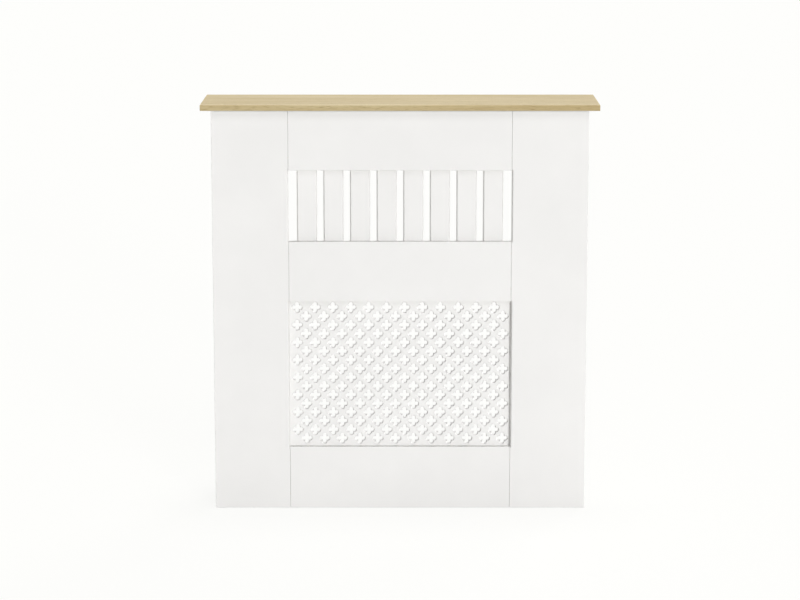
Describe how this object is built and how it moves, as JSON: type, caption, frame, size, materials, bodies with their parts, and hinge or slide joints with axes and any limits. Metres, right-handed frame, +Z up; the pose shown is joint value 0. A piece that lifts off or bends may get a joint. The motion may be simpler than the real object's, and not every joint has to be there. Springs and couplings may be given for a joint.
{
  "type": "radiator cover cabinet",
  "caption": "Free-standing radiator cover with a slatted vent above a pierced four-lobed grille, wide side stiles and an oak-look shelf top, open at the back and below.",
  "frame": {"origin": "on the floor, below the middle of the top panel's outline", "axes": "+X to the right along the front as seen from the room, +Y from the front to the wall, +Z up"},
  "size_m": [0.78, 0.19, 0.815],
  "materials": {
    "painted_mdf": "white satin paint on MDF",
    "oak_foil_board": "pale oak-grain foil, satin, on MDF",
    "zinc_casting": "bare die-cast zinc alloy",
    "plated_steel": "bright zinc-plated steel",
    "beech": "fluted beech, unfinished"
  },
  "bodies": {
    "root": {"top_panel": "oak_foil_board", "left_side_panel": "painted_mdf", "right_side_panel": "painted_mdf", "left_stile": "painted_mdf", "right_stile": "painted_mdf", "top_rail": "painted_mdf", "middle_rail": "painted_mdf", "bottom_rail": "painted_mdf", "slat_1": "painted_mdf", "slat_2": "painted_mdf", "slat_3": "painted_mdf", "slat_4": "painted_mdf", "slat_5": "painted_mdf", "slat_6": "painted_mdf", "slat_7": "painted_mdf", "slat_8": "painted_mdf", "grille_panel": "painted_mdf", "rear_stretcher": "painted_mdf", "cam_locks": "zinc_casting", "cam_bolts": "plated_steel", "wood_dowels": "beech", "left_wall_bracket": "plated_steel", "right_wall_bracket": "plated_steel", "bracket_screws": "plated_steel"}
  },
  "joints": []
}
